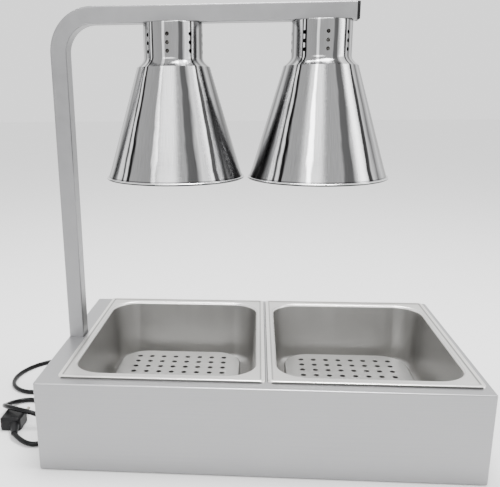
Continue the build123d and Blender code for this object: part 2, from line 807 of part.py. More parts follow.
with BuildPart() as earth_stud:
    with BuildSketch(window):
        with Locations((earth_stud_y, earth_stud_z)):
            Circle(1.8 * earth_stud_radius)
    extrude(amount=-1.2)
    with BuildSketch(window):
        with Locations((earth_stud_y, earth_stud_z)):
            Circle(earth_stud_radius)
    extrude(amount=earth_stud_length)
finish(earth_stud.part, "earth_stud")

with BuildPart() as earth_nut:
    with BuildSketch(Plane.YZ.offset(left_wall_inside)):
        with Locations((earth_stud_y, earth_stud_z)):
            RegularPolygon(earth_nut_across_flats / 2, 6, major_radius=False)
            Circle(earth_stud_radius, mode=Mode.SUBTRACT)
    extrude(amount=earth_nut_height)
finish(earth_nut.part, "earth_nut")

# the lamp harness rises from the block into the post, follows the bend and drops to each lamp
harness_z = arm_z + tube_width / 2 - tube_wall - harness_radius - 1.5
with BuildPart() as lamp_harness:
    with BuildLine():
        harness_path = FilletPolyline(
            (block_x, block_y - block_length / 2, plate_top + block_height / 2),
            (block_x, block_y - block_length / 2 - 22, plate_top + block_height / 2),
            (post_x, tube_depth / 2 + 20, wire_hole_height),
            (post_x, 0, wire_hole_height),
            (post_x, 0, harness_z),
            (lamp_centres["right"], 0, harness_z),
            radius=[9, 9, 8, tube_bend],
        )
    with BuildSketch(Plane(harness_path @ 0, z_dir=harness_path % 0)):
        Circle(harness_radius)
    sweep()
    with BuildSketch(Plane.XY.offset(shell_top)):
        with Locations(*[(x, 0) for x in lamp_centres.values()]):
            Circle(drop_lead_radius)
    extrude(amount=harness_z - shell_top)
finish(lamp_harness.part, "lamp_harness")

with BuildPart() as supply_lead:
    with BuildLine():
        supply_path = FilletPolyline(
            (left_side + base_sheet + gland_nut_height + 2, gland_y, gland_z),
            (block_x - 6, gland_y, gland_z),
            (block_x, block_y + block_length / 2 + 8, plate_top + block_height / 2),
            (block_x, block_y + block_length / 2, plate_top + block_height / 2),
            radius=3,
        )
    with BuildSketch(Plane(supply_path @ 0, z_dir=supply_path % 0)):
        Circle(harness_radius)
    sweep()
finish(supply_lead.part, "supply_lead")

with BuildPart() as switch_leads:
    for tab in (-0.5, 0.5):
        tab_z = switch_z + tab * switch_tab_pitch
        with BuildLine():
            lead_path = FilletPolyline(
                (left_side + switch_depth + switch_tab_length, switch_y, tab_z),
                (left_side + switch_depth + switch_tab_length + 5, switch_y, tab_z),
                (block_x + 4, block_y + tab * block_screw_pitch, block_top + 14 - 4 * tab),
                (block_x + 4, block_y + tab * block_screw_pitch, block_top),
                radius=3,
            )
        with BuildSketch(Plane(lead_path @ 0, z_dir=lead_path % 0)):
            Circle(switch_lead_radius)
        sweep()
finish(switch_leads.part, "switch_leads")


# --- power cord, its coil and its plug ------------------------------------------------------
def cord_radii(points):
    """The largest arc that each corner of a cord's route has room for."""
    radii = []
    for before, at, after in zip(points, points[1:], points[2:]):
        run_in = Vector(*at) - Vector(*before)
        run_out = Vector(*after) - Vector(*at)
        half_turn = radians(run_in.get_angle(run_out)) / 2
        radii.append(0.45 * min(run_in.length, run_out.length) / tan(half_turn))
    return radii


lead_in_start = (left_side - gland_flange - gland_tail, gland_y, gland_z)
routes = {"cord_lead_in": [lead_in_start, *lead_in_points], "power_cord": tail_points}
for name, points in routes.items():
    radii = cord_radii(points)
    with BuildPart() as cord:
        with BuildLine():
            cord_path = FilletPolyline(*points, radius=radii)
        with BuildSketch(Plane(cord_path @ 0, z_dir=cord_path % 0)):
            Circle(cord_radius)
        sweep()
    filled = cord.part.volume / (pi * cord_radius**2 * cord_path.length)
    print(name, "length", round(cord_path.length, 1), "volume ratio", round(filled, 4))
    print(name, "arc radii", [round(radius, 1) for radius in radii])
    finish(cord.part, name)

with BuildPart() as cord_coil:
    with BuildSketch(Plane.XZ.offset(-coil_y)):
        with Locations((coil_x + coil_turn_radius, coil_bundle / 2)):
            RectangleRounded(coil_bundle, coil_bundle, coil_edge)
    revolve(axis=Axis((coil_x, coil_y, 0), (0, 0, 1)))
finish(cord_coil.part, "cord_coil")

with BuildPart() as cord_tie:
    with BuildSketch(Plane.YZ.offset(coil_x - tie_width / 2)):
        with Locations((coil_y + coil_turn_radius, coil_bundle / 2 + tie_thickness / 2)):
            RectangleRounded(
                coil_bundle + 2 * tie_thickness + 2,
                coil_bundle + tie_thickness,
                coil_edge,
            )
    extrude(amount=tie_width)
    with BuildSketch(Plane.XZ.offset(-coil_y)):
        with Locations((coil_x + coil_turn_radius, coil_bundle / 2)):
            RectangleRounded(coil_bundle, coil_bundle, coil_edge)
    revolve(axis=Axis((coil_x, coil_y, 0), (0, 0, 1)), mode=Mode.SUBTRACT)
finish(cord_tie.part, "cord_tie")

with BuildPart() as power_plug:
    with BuildSketch():
        with Locations((plug_x, plug_y)):
            RectangleRounded(plug_width, plug_length, plug_edge)
    extrude(amount=plug_height)
    fillet(power_plug.faces().sort_by(Axis.Z)[-1].edges(), plug_edge - 1)
    fillet(power_plug.faces().sort_by(Axis.Z)[0].edges(), plug_edge / 2)
    tip = Vector(*tail_points[-1])
    root = Vector(*plug_relief_root, plug_height / 2)
    with BuildSketch(Plane(root, z_dir=tip - root)):
        Circle(plug_relief_root_radius)
    with BuildSketch(Plane(tip, z_dir=tip - root)):
        Circle(plug_relief_tip_radius)
    loft()
    with BuildSketch(Plane.XZ.offset(-plug_y - plug_length / 2)):
        with Locations((plug_x, plug_height / 2)):
            with GridLocations(pin_pitch, 0, 2, 1):
                Circle(pin_radius)
    extrude(amount=pin_root, mode=Mode.SUBTRACT)
finish(power_plug.part, "power_plug")

with BuildPart() as plug_pins:
    with BuildSketch(Plane.XZ.offset(-plug_y - plug_length / 2 + pin_root)):
        with Locations((plug_x, plug_height / 2)):
            with GridLocations(pin_pitch, 0, 2, 1):
                Circle(pin_radius)
    extrude(amount=-pin_root - pin_length)
finish(plug_pins.part, "plug_pins")
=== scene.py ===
import json
from math import atan2, cos, pi, radians, sin

import bmesh
import bpy
from bpy.props import FloatProperty, FloatVectorProperty, IntProperty, PointerProperty
from mathutils import Matrix, Quaternion, Vector

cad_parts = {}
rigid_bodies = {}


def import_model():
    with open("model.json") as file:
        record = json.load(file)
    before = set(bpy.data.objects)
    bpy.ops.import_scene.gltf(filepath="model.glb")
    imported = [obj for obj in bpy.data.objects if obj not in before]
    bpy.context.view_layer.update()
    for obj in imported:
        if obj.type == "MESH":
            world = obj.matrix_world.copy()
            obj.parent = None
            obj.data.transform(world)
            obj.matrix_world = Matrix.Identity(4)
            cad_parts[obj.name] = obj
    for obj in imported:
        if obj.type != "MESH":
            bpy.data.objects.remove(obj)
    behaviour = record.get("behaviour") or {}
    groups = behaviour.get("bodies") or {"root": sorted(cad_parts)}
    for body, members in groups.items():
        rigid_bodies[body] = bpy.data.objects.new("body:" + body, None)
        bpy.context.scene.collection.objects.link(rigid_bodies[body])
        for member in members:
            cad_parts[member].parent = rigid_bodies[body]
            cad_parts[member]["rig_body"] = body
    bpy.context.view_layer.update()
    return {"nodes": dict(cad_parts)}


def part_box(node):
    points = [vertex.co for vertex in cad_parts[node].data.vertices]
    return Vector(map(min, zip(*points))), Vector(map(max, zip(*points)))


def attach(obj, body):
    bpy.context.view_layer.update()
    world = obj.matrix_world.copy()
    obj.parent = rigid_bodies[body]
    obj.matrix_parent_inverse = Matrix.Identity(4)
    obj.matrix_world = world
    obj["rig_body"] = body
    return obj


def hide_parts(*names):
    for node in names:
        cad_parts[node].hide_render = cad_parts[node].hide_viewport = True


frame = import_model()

bl_info = {
    "name": "Heat Lamp Warmer",
    "version": (1, 0, 0),
    "blender": (4, 5, 0),
    "location": "View3D > Sidebar > Warmer",
    "description": "Builds the finished pieces of a countertop heat lamp food warmer round its frame",
    "category": "Add Mesh",
}

MM = 0.001
SIDES = ("left", "right")
GIRTH_RISE = 28 * MM  # from a bulb's face up to its widest ring
BEAD_DROP = 1.2  # how far a shade's rolled lip hangs below its skirt, in lip radii
VENT_FACETS = 28

# The power cord's free stretches, in metres, one point for each bend.
LEAD_IN_POINTS = (
    (-0.3155, 0.134, 0.030),
    (-0.336, 0.134, 0.0275),
    (-0.355, 0.127, 0.019),
    (-0.366, 0.110, 0.012),
)
# Where the coil's turns begin and end, from the coil's centre.
COIL_ENTRY = (-0.0345, -0.017)
COIL_EXIT = (0.0385, 0.006)
TAIL_POINTS = (
    (-0.291, 0.137, 0.0035),
    (-0.304, 0.161, 0.0035),
    (-0.330, 0.175, 0.0035),
    (-0.361, 0.170, 0.0035),
    (-0.389, 0.152, 0.0035),
    (-0.408, 0.124, 0.0035),
    (-0.415, 0.092, 0.0035),
    (-0.407, 0.061, 0.0035),
    (-0.384, 0.040, 0.0035),
    (-0.355, 0.038, 0.0035),
    (-0.328, 0.055, 0.0035),
    (-0.300, 0.053, 0.0035),
    (-0.287, 0.028, 0.0035),
    (-0.302, 0.004, 0.0035),
    (-0.332, 0.003, 0.0035),
    (-0.359, 0.015, 0.0035),
    (-0.382, 0.002, 0.0045),
    (-0.385, -0.027, 0.013),
    (-0.377, -0.049, 0.0245),
    (-0.354, -0.065, 0.0285),
    (-0.327, -0.069, 0.025),
    (-0.304, -0.066, 0.014),
    (-0.285, -0.086, 0.007),
    (-0.293, -0.115, 0.0035),
    (-0.322, -0.122, 0.0045),
    (-0.343, -0.101, 0.0085),
)


# --- places read from the frame -------------------------------------------------------------
def middle(node):
    """The centre of a node's box."""
    low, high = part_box(node)
    return (Vector(low) + Vector(high)) / 2


def top_of(node):
    """The height of a node's top."""
    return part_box(node)[1][2]


# --- sizes and colours that a user may change -----------------------------------------------
def length(name, description, default):
    """A length property, in metres."""
    return FloatProperty(name=name, description=description, default=default, unit="LENGTH", precision=5)


def angle(name, description, degrees):
    """An angle property, given in degrees."""
    return FloatProperty(name=name, description=description, default=radians(degrees), unit="ROTATION")


def colour(name, description, default):
    """A plain colour property."""
    return FloatVectorProperty(
        name=name, description=description, default=default, size=3, subtype="COLOR", min=0, max=1
    )


class WarmerStageSettings(bpy.types.PropertyGroup):
    """Camera, floor and lights."""

    eye: FloatVectorProperty(
        name="Camera place",
        description="Where the camera stands",
        default=(-0.004949, -0.87774, 0.465374),
        subtype="TRANSLATION",
        unit="LENGTH",
    )
    yaw: angle("Yaw", "Turn of the view about the vertical", -4.573)
    pitch: angle("Pitch", "How far the view looks down", 15.248)
    roll: angle("Roll", "Tilt of the view about its own line", -0.498)
    lens: FloatProperty(name="Lens", description="Focal length, in millimetres", default=45.542)
    shift_x: FloatProperty(name="Shift X", description="Sideways lens shift", default=0.0847)
    shift_y: FloatProperty(name="Shift Y", description="Upward lens shift", default=0.0513)
    sky: FloatProperty(name="Room light", description="Strength of the even light", default=1.5)
    floor_colour: colour("Floor", "Pale floor", (0.92, 0.92, 0.92))


class WarmerShadeSettings(bpy.types.PropertyGroup):
    """Outline of a spun lamp shade and its vent holes."""

    sheet: length("Sheet", "Metal thickness", 1.0 * MM)
    bore_radius: length("Bore", "Hole for the hanging nipple", 5.3 * MM)
    collar_radius: length("Collar radius", "Outside of the upright collar", 39.05 * MM)
    collar_drop: length("Collar drop", "Top of the shade to the flare", 43.4 * MM)
    top_fold: length("Top fold", "Rounding of the collar's top edge", 2.0 * MM)
    crease_radius: length("Crease radius", "Where the flare meets the skirt", 48.5 * MM)
    crease_drop: length("Crease drop", "Top of the shade to the crease", 55.1 * MM)
    skirt_radius: length("Skirt radius", "Foot of the straight skirt", 91.5 * MM)
    skirt_drop: length("Skirt drop", "Top of the shade to the skirt's foot", 197.5 * MM)
    bead_radius: length("Bead", "Radius of the rolled lip", 1.6 * MM)
    segments: IntProperty(name="Segments", description="Facets round a shade", default=256, min=48)
    vent_radius: length("Vent radius", "Radius of a vent hole", 2.5 * MM)
    vent_columns: IntProperty(name="Vent columns", description="Columns round the collar", default=8)
    vent_rows: IntProperty(name="Vent rows", description="Holes in each column", default=3)
    vent_drop: length("First vent", "Top of the shade to the first row", 15.9 * MM)
    vent_pitch: length("Vent pitch", "Row to row", 10.25 * MM)
    left_turn: angle("Left turn", "How far the left shade is turned", -4.0)
    right_turn: angle("Right turn", "How far the right shade is turned", 6.6)


class WarmerCordSettings(bpy.types.PropertyGroup):
    """Power cord and its tied coil."""

    diameter: length("Diameter", "Across the cord's jacket", 7.0 * MM)
    coil_radius: length("Coil radius", "Middle of the coil's turns", 35.0 * MM)
    coil_centre: FloatVectorProperty(
        name="Coil centre",
        description="Middle of the tied coil, on the bench",
        default=(-0.329, 0.108, 0.0),
        subtype="TRANSLATION",
        unit="LENGTH",
    )
    points_per_turn: IntProperty(name="Points per turn", description="In the coil", default=20, min=12)
    full_length: length("Length", "Gland to plug", 1.56)


class WarmerFinishSettings(bpy.types.PropertyGroup):
    """Colours of the finishes."""

    base_steel: colour("Base steel", "Brushed sheet of the base", (0.31, 0.31, 0.315))
    arm_steel: colour("Arm steel", "Satin square tube", (0.27, 0.27, 0.275))
    pan_steel: colour("Pan steel", "Pressed pans", (0.395, 0.39, 0.38))
    grate_steel: colour("Grate steel", "Pressed drain grates", (0.58, 0.58, 0.57))
    shade_metal: colour("Shade metal", "Spun and polished shades", (0.90, 0.90, 0.91))
    plastic: colour("Black plastic", "Cap, switch, gland and plug", (0.006, 0.006, 0.0065))
    jacket: colour("Cord jacket", "Black cord", (0.004, 0.004, 0.0045))
    brass: colour("Brass", "Lamp caps and contacts", (0.72, 0.53, 0.24))
    ceramic: colour("Ceramic", "Lamp holders", (0.82, 0.80, 0.75))
    glass: colour("Glass", "Bulb faces", (0.90, 0.88, 0.84))


# --- materials ------------------------------------------------------------------------------
# Painted reflections and painted shade across half a turn of a shade, from its left side to its right
# side: bright and dark bands that stand in for what the polish reflects, and dark bands at the sides.
# The back half repeats the front half.
PAINTED_REFLECTION_STREAKS = (
    (0.000, 0.04),
    (0.060, 0.30),
    (0.100, 0.08),
    (0.140, 0.60),
    (0.180, 0.10),
    (0.215, 0.35),
    (0.225, 0.90),
    (0.255, 0.75),
    (0.262, 0.04),
    (0.274, 0.10),
    (0.280, 0.95),
    (0.290, 0.80),
    (0.296, 0.02),
    (0.310, 0.00),
    (0.320, 0.30),
    (0.424, 0.25),
    (0.430, 1.00),
    (0.444, 1.00),
    (0.450, 0.28),
    (0.588, 0.33),
    (0.596, 0.10),
    (0.636, 0.09),
    (0.648, 0.38),
    (0.668, 0.90),
    (0.718, 0.70),
    (0.727, 0.02),
    (0.748, 0.04),
    (0.758, 0.65),
    (0.794, 0.08),
    (0.840, 0.60),
    (0.890, 0.06),
    (1.000, 0.04),
)


class Wire:
    """A node's output that can stand in an arithmetic expression."""

    def __init__(self, graph, socket):
        self.graph = graph
        self.socket = socket

    def sums(self, operation, first, second):
        """A Math node on two values."""
        return self.graph.node("ShaderNodeMath", {"operation": operation}, {0: first, 1: second})

    def __add__(self, other):
        return self.sums("ADD", self, other)

    __radd__ = __add__

    def __sub__(self, other):
        return self.sums("SUBTRACT", self, other)

    def __rsub__(self, other):
        return self.sums("SUBTRACT", other, self)

    def __mul__(self, other):
        return self.sums("MULTIPLY", self, other)

    __rmul__ = __mul__

    def __truediv__(self, other):
        return self.sums("DIVIDE", self, other)

    def __pow__(self, other):
        return self.sums("POWER", self, other)

    def split(self):
        """The three parts of a vector."""
        apart = self.graph.node("ShaderNodeSeparateXYZ", None, {"Vector": self})
        return [Wire(self.graph, part) for part in apart.socket.node.outputs]


class Graph:
    """A material whose nodes are written as expressions."""

    def __init__(self, name):
        self.material = bpy.data.materials.new(name)
        self.material.use_nodes = True
        self.tree = self.material.node_tree
        self.tree.nodes.clear()
        self.place = self.node("ShaderNodeTexCoord", output="Object")

    def node(self, kind, settings=None, sockets=None, output=0):
        """Adds a node: its settings first, then the values or links of its sockets."""
        made = self.tree.nodes.new(kind)
        for key, value in (settings or {}).items():
            if key == "stops":
                ramp = made.color_ramp.elements
                while len(ramp) < len(value):
                    ramp.new(0.5)
                for element, (position, shade) in zip(ramp, value):
                    element.position = position
                    element.color = (shade, shade, shade, 1)
            else:
                setattr(made, key, value)
        for key, value in (sockets or {}).items():
            if isinstance(value, Wire):
                self.tree.links.new(value.socket, made.inputs[key])
            else:
                made.inputs[key].default_value = value
        return Wire(self, made.outputs[output] if len(made.outputs) else None)

    def mapped(self, scale, move=(0, 0, 0)):
        """Object coordinates, moved and then scaled."""
        moved = self.node(
            "ShaderNodeVectorMath", {"operation": "ADD"}, {0: self.place, 1: tuple(move)}
        )
        return self.node("ShaderNodeVectorMath", {"operation": "MULTIPLY"}, {0: moved, 1: scale})

    def noise(self, scale, detail=2.0, move=(0, 0, 0)):
        """Noise whose grain differs along each axis; scale is in cycles a metre."""
        return self.node(
            "ShaderNodeTexNoise",
            {"noise_dimensions": "3D"},
            {"Vector": self.mapped(scale, move), "Scale": 1.0, "Detail": detail, "Roughness": 0.5},
            "Fac",
        )

    def ranged(self, value, low, high, new_low=0.0, new_high=1.0):
        """A value carried from one range to another and kept inside it."""
        return self.node(
            "ShaderNodeMapRange",
            {"clamp": True},
            {
                "Value": value,
                "From Min": low,
                "From Max": high,
                "To Min": new_low,
                "To Max": new_high,
            },
        )

    def blend(self, factor, first, second):
        """Two colours mixed by a factor."""
        made = self.tree.nodes.new("ShaderNodeMix")
        made.data_type = "RGBA"
        self.tree.links.new(factor.socket, made.inputs["Factor"])
        for key, value in ((6, first), (7, second)):
            if isinstance(value, Wire):
                self.tree.links.new(value.socket, made.inputs[key])
            else:
                made.inputs[key].default_value = (*value, 1)
        return Wire(self, made.outputs[2])

    def band(self, value, rise, fall):
        """One between two ranges of a value, nought outside them."""
        return self.ranged(value, *rise) * self.ranged(value, *fall, 1, 0)

    def bump(self, height, depth):
        """A bump normal from a height value; depth is in metres."""
        return self.node("ShaderNodeBump", None, {"Height": height, "Distance": depth, "Strength": 1.0})

    def finish(self, **sockets):
        """Joins the shader to the output; underscores in socket names stand for spaces."""
        named = {key.replace("_", " "): value for key, value in sockets.items()}
        shader = self.node("ShaderNodeBsdfPrincipled", None, named)
        self.node("ShaderNodeOutputMaterial", None, {"Surface": shader})
        return self.material


def scaled(base, amount):
    """A colour made lighter or darker."""
    return tuple(min(1.0, part * amount) for part in base)


def brushed_metal(name, base, grain, rough=(0.30, 0.42), contrast=0.12, top=None):
    """Brushed sheet: a long grain, clouding, soft rub marks and, where a top is given, a top face
    painted paler as painted light.
    """
    graph = Graph(name)
    lines = graph.noise(grain, 3.0)
    clouds = graph.noise((9, 9, 9), 3.0, (3, 1, 2))
    marks = graph.ranged(graph.noise((70, 70, 70), 4.0, (1, 5, 3)), 0.58, 0.75)
    tone = lines * 0.6 + clouds * 0.4
    colour_over = graph.blend(tone, scaled(base, 1 - contrast), scaled(base, 1 + contrast))
    if top is not None:
        # painted light: the top face is made paler, as if lit from above
        height = graph.mapped((1, 1, 1)).split()[2]
        painted_top_light = graph.ranged(height, top - 1.5 * MM, top - 0.5 * MM)
        colour_over = graph.blend(painted_top_light, colour_over, scaled(base, 1.5))
    roughness = graph.ranged(tone, 0.3, 0.7, *rough) + marks * 0.05
    return graph.finish(
        Base_Color=colour_over,
        Metallic=1.0,
        Roughness=roughness,
        Normal=graph.bump(lines, 0.04 * MM),
    )


def pressed_steel(name, base, rough, rim=None):
    """Deep-drawn steel: a satin skin, faint drawing streaks and, on a pan, a rim with painted highlights
    and painted shade lines.
    """
    graph = Graph(name)
    streaks = graph.noise((90, 90, 6), 2.0)
    clouds = graph.noise((11, 11, 11), 3.0, (2, 7, 1))
    grain = graph.noise((2200, 2200, 2200), 1.0)
    tone = streaks * 0.4 + clouds * 0.6
    skin = graph.blend(tone, scaled(base, 0.90), scaled(base, 1.08))
    roughness = graph.ranged(tone, 0.3, 0.7, *rough)
    if rim:
        low, high = (Vector(corner) for corner in rim)
        centre = (low + high) / 2
        across, along, height = graph.mapped((1, 1, 1), tuple(-centre)).split()
        spare_x = graph.node("ShaderNodeMath", {"operation": "ABSOLUTE"}, {0: across})
        spare_y = graph.node("ShaderNodeMath", {"operation": "ABSOLUTE"}, {0: along})
        inset = graph.node(
            "ShaderNodeMath",
            {"operation": "MINIMUM"},
            {0: (high.x - centre.x) - spare_x, 1: (high.y - centre.y) - spare_y},
        )
        # from the outside in, all painted light: painted shadow at the outer edge, a painted highlight
        # on the roll, painted shade in the gutter, a painted paler flange top and a painted highlight on
        # the bend of the mouth
        outer = graph.ranged(inset, 0.4 * MM, 0.9 * MM, 1, 0)
        roll = graph.ranged(inset, 4.8 * MM, 5.4 * MM, 1, 0)
        painted_gutter_shade = graph.band(inset, (5.2 * MM, 5.8 * MM), (7.0 * MM, 7.8 * MM))
        below = (high.z - centre.z) - height
        painted_flange_light = graph.ranged(below, 1.2 * MM, 1.8 * MM, 1, 0)
        painted_bend_highlight = graph.band(below, (1.4 * MM, 2.2 * MM), (4.0 * MM, 5.2 * MM))
        inward = graph.ranged(inset, 10.0 * MM, 10.5 * MM)
        painted_highlights = graph.node("ShaderNodeMath", {"operation": "MAXIMUM"}, {0: roll, 1: painted_bend_highlight * inward})
        skin = graph.blend(painted_flange_light, skin, scaled(base, 1.9))
        skin = graph.blend(painted_highlights, skin, scaled(base, 2.4))
        skin = graph.blend(painted_gutter_shade, skin, scaled(base, 1.1))
        skin = graph.blend(outer, skin, scaled(base, 0.25))
        roughness = roughness - painted_highlights * 0.10
    return graph.finish(
        Base_Color=skin,
        Metallic=1.0,
        Roughness=roughness,
        Normal=graph.bump(grain, 0.012 * MM),
    )


def spun_metal(name, base, axis_x, s, top):
    """Spun and polished shade: painted reflection streaks and painted shade down its sides, painted
    light on its rolled lip and fine rings about its axis.
    """
    graph = Graph(name)
    across, along, height = graph.mapped((1, 1, 1), (-axis_x, 0, 0)).split()
    round_turn = graph.node("ShaderNodeMath", {"operation": "ARCTAN2"}, {0: across, 1: along * -1})
    radius = (across * across + along * along) ** 0.5
    drift = graph.node(
        "ShaderNodeTexNoise",
        {"noise_dimensions": "2D"},
        {"Vector": graph.node("ShaderNodeCombineXYZ", None, {"X": round_turn * 2.0, "Y": height * 5.0})},
    )
    half_turns = round_turn / pi + 0.5 + (drift - 0.5) * 0.02
    position = graph.node("ShaderNodeMath", {"operation": "FRACT"}, {0: half_turns})
    # painted reflections and painted shade: bright and dark streak bands read round the shade's axis
    streaks = graph.node("ShaderNodeValToRGB", {"stops": PAINTED_REFLECTION_STREAKS}, {"Fac": position})
    lines = graph.node(
        "ShaderNodeTexNoise",
        {"noise_dimensions": "2D"},
        {
            "Vector": graph.node(
                "ShaderNodeCombineXYZ", None, {"X": round_turn * 34.0, "Y": height * 7.0}
            ),
            "Detail": 3.0,
        },
    )
    rings = graph.node(
        "ShaderNodeTexNoise", {"noise_dimensions": "1D"}, {"W": height * 1500.0, "Detail": 2.0}
    )
    # painted shade: the inner face of the collar is darkened
    in_collar = graph.ranged(height, top - s.crease_drop, top - s.collar_drop)
    inside = graph.ranged(radius, s.collar_radius - 0.8 * s.sheet, s.collar_radius - 0.3 * s.sheet, 1, 0)
    painted_collar_shade = in_collar * inside
    # painted light on the rolled lip: a painted highlight on the bead, between painted shade on its
    # underside and a painted shadow line where the skirt meets it
    bead = s.bead_radius
    lip = top - s.skirt_drop - BEAD_DROP * bead
    painted_lip_shade = graph.ranged(height, lip + 0.1 * bead, lip + 0.4 * bead, 0.03, 1)
    painted_bead_highlight = graph.ranged(height, lip + 0.8 * bead, lip + 1.2 * bead, 1, 0)
    painted_seam_shadow = graph.band(height, (lip + 1.1 * bead, lip + 1.5 * bead), (lip + 1.7 * bead, lip + 2.2 * bead))
    # the tone below carries the painted light: painted reflection streaks, the painted bead highlight,
    # the painted collar shade and the painted lip shade
    sides = streaks * (0.70 + lines * 0.60) * (1 - painted_seam_shadow * 0.8)
    tone = (sides + painted_bead_highlight * (0.9 - sides)) * (1 - painted_collar_shade * 0.93) * painted_lip_shade
    return graph.finish(
        Base_Color=graph.blend(tone, (0.0, 0.0, 0.0), base),
        Metallic=1.0,
        Roughness=graph.ranged(rings * 0.6 + lines * 0.4, 0.3, 0.7, 0.09, 0.20),
        Normal=graph.bump(rings, 0.02 * MM),
    )


def moulded(name, base, rough, grain_scale=900, depth=0.04 * MM, coat=0.0, shine=0.5):
    """Moulded plastic or rubber: a fine grain, a little dust and uneven gloss."""
    graph = Graph(name)
    grain = graph.noise((grain_scale,) * 3, 2.0)
    dust = graph.ranged(graph.noise((45, 45, 45), 5.0, (1, 2, 6)), 0.45, 0.75)
    return graph.finish(
        Base_Color=graph.blend(dust, base, tuple(part * 1.25 + 0.003 for part in base)),
        Roughness=rough + dust * 0.12,
        Specular_IOR_Level=shine,
        Coat_Weight=coat,
        Normal=graph.bump(grain, depth),
    )


def plain_metal(name, base, rough):
    """Small turned or pressed metal pieces: light tarnish in the hollows of a soft noise."""
    graph = Graph(name)
    tarnish = graph.ranged(graph.noise((220, 220, 220), 4.0), 0.35, 0.7)
    return graph.finish(
        Base_Color=graph.blend(tarnish, base, scaled(base, 0.7)),
        Metallic=1.0,
        Roughness=rough + tarnish * 0.15,
        Normal=graph.bump(tarnish, 0.02 * MM),
    )


def reflector_glass(name, base, girth_height):
    """Reflector bulb: silvered above its widest ring, frosted below it."""
    graph = Graph(name)
    height = graph.node("ShaderNodeSeparateXYZ", None, {"Vector": graph.place}, "Z")
    silver = graph.ranged(height, girth_height - MM, girth_height + MM)
    stipple = graph.noise((500, 500, 500), 2.0)
    return graph.finish(
        Base_Color=graph.blend(silver, base, (0.80, 0.80, 0.80)),
        Metallic=silver * 1.0,
        Roughness=graph.ranged(silver, 0, 1, 0.32, 0.16) + stipple * 0.06,
        Alpha=graph.ranged(silver, 0, 1, 0.72, 1.0),
        Coat_Weight=0.3,
        Normal=graph.bump(stipple, 0.04 * MM),
    )


# --- mesh helpers ---------------------------------------------------------------------------
def link(mesh, name):
    """A new object for a mesh, in the scene."""
    piece = bpy.data.objects.new(name, mesh)
    bpy.context.scene.collection.objects.link(piece)
    return piece


def crease(mesh, degrees=30.0):
    """Smooth shading, with the edges that turn more than this kept sharp."""
    shape = bmesh.new()
    shape.from_mesh(mesh)
    for face in shape.faces:
        face.smooth = True
    for edge in shape.edges:
        soft = len(edge.link_faces) == 2 and edge.calc_face_angle(pi) < radians(degrees)
        edge.smooth = soft
    shape.to_mesh(mesh)
    shape.free()


def settled(piece, name):
    """A plain mesh of the piece with its modifiers worked in; the piece itself is removed."""
    depsgraph = bpy.context.evaluated_depsgraph_get()
    mesh = bpy.data.meshes.new_from_object(piece.evaluated_get(depsgraph), depsgraph=depsgraph)
    mesh.name = name
    bpy.data.objects.remove(piece)
    return link(mesh, name)


def finished(piece, node, material):
    """Gives a piece its material and lets it stand for a node, on that node's body."""
    piece.data.materials.clear()
    piece.data.materials.append(material)
    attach(piece, frame["nodes"][node]["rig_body"])
    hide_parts(node)
    return piece


def smooth_copy(node, material, degrees=30.0):
    """A merged and smoothly shaded copy of a node's mesh, which stands for it."""
    mesh = frame["nodes"][node].data.copy()
    if "custom_normal" in mesh.attributes:
        mesh.attributes.remove(mesh.attributes["custom_normal"])
    shape = bmesh.new()
    shape.from_mesh(mesh)
    bmesh.ops.remove_doubles(shape, verts=shape.verts, dist=0.002 * MM)
    shape.to_mesh(mesh)
    shape.free()
    crease(mesh, degrees)
    draft = link(mesh, f"{node}_draft")
    weighted = draft.modifiers.new("Flat faces", "WEIGHTED_NORMAL")
    weighted.keep_sharp = True
    weighted.weight = 100
    bpy.context.view_layer.update()
    return finished(settled(draft, f"{node}_finish"), node, material)


def lathe(outline, axis_x, segments):
    """A closed outline of (radius, height) points turned about a vertical axis."""
    mesh = bpy.data.meshes.new("Turned")
    points = []
    faces = []
    count = len(outline)
    for step in range(segments):
        turn = 2 * pi * step / segments
        points += [(axis_x + r * cos(turn), r * sin(turn), z) for r, z in outline]
        following = (step + 1) % segments
        for i in range(count):
            j = (i + 1) % count
            faces.append(
                (step * count + i, following * count + i, following * count + j, step * count + j)
            )
    mesh.from_pydata(points, [], faces)
    shape = bmesh.new()
    shape.from_mesh(mesh)
    bmesh.ops.recalc_face_normals(shape, faces=shape.faces)
    shape.to_mesh(mesh)
    shape.free()
    return mesh


def arc(centre, radius, start, end, steps):
    """Points along an arc, from one angle to another in degrees."""
    turns = [radians(start + (end - start) * i / steps) for i in range(steps + 1)]
    return [(centre[0] + radius * cos(t), centre[1] + radius * sin(t)) for t in turns]


def parallel(line, distance):
    """An open line of (radius, height) points moved sideways, to its right."""
    moved = []
    for i, (r, z) in enumerate(line):
        before = line[max(i - 1, 0)]
        after = line[min(i + 1, len(line) - 1)]
        run_in = Vector((r - before[0], z - before[1]))
        run_out = Vector((after[0] - r, after[1] - z))
        if i == 0:
            run_in = run_out
        if i == len(line) - 1:
            run_out = run_in
        right_in = Vector((run_in.y, -run_in.x)).normalized()
        right_out = Vector((run_out.y, -run_out.x)).normalized()
        mitre = (right_in + right_out).normalized()
        moved.append(Vector((r, z)) + mitre * (distance / max(mitre.dot(right_in), 0.5)))
    return [(point.x, point.y) for point in moved]


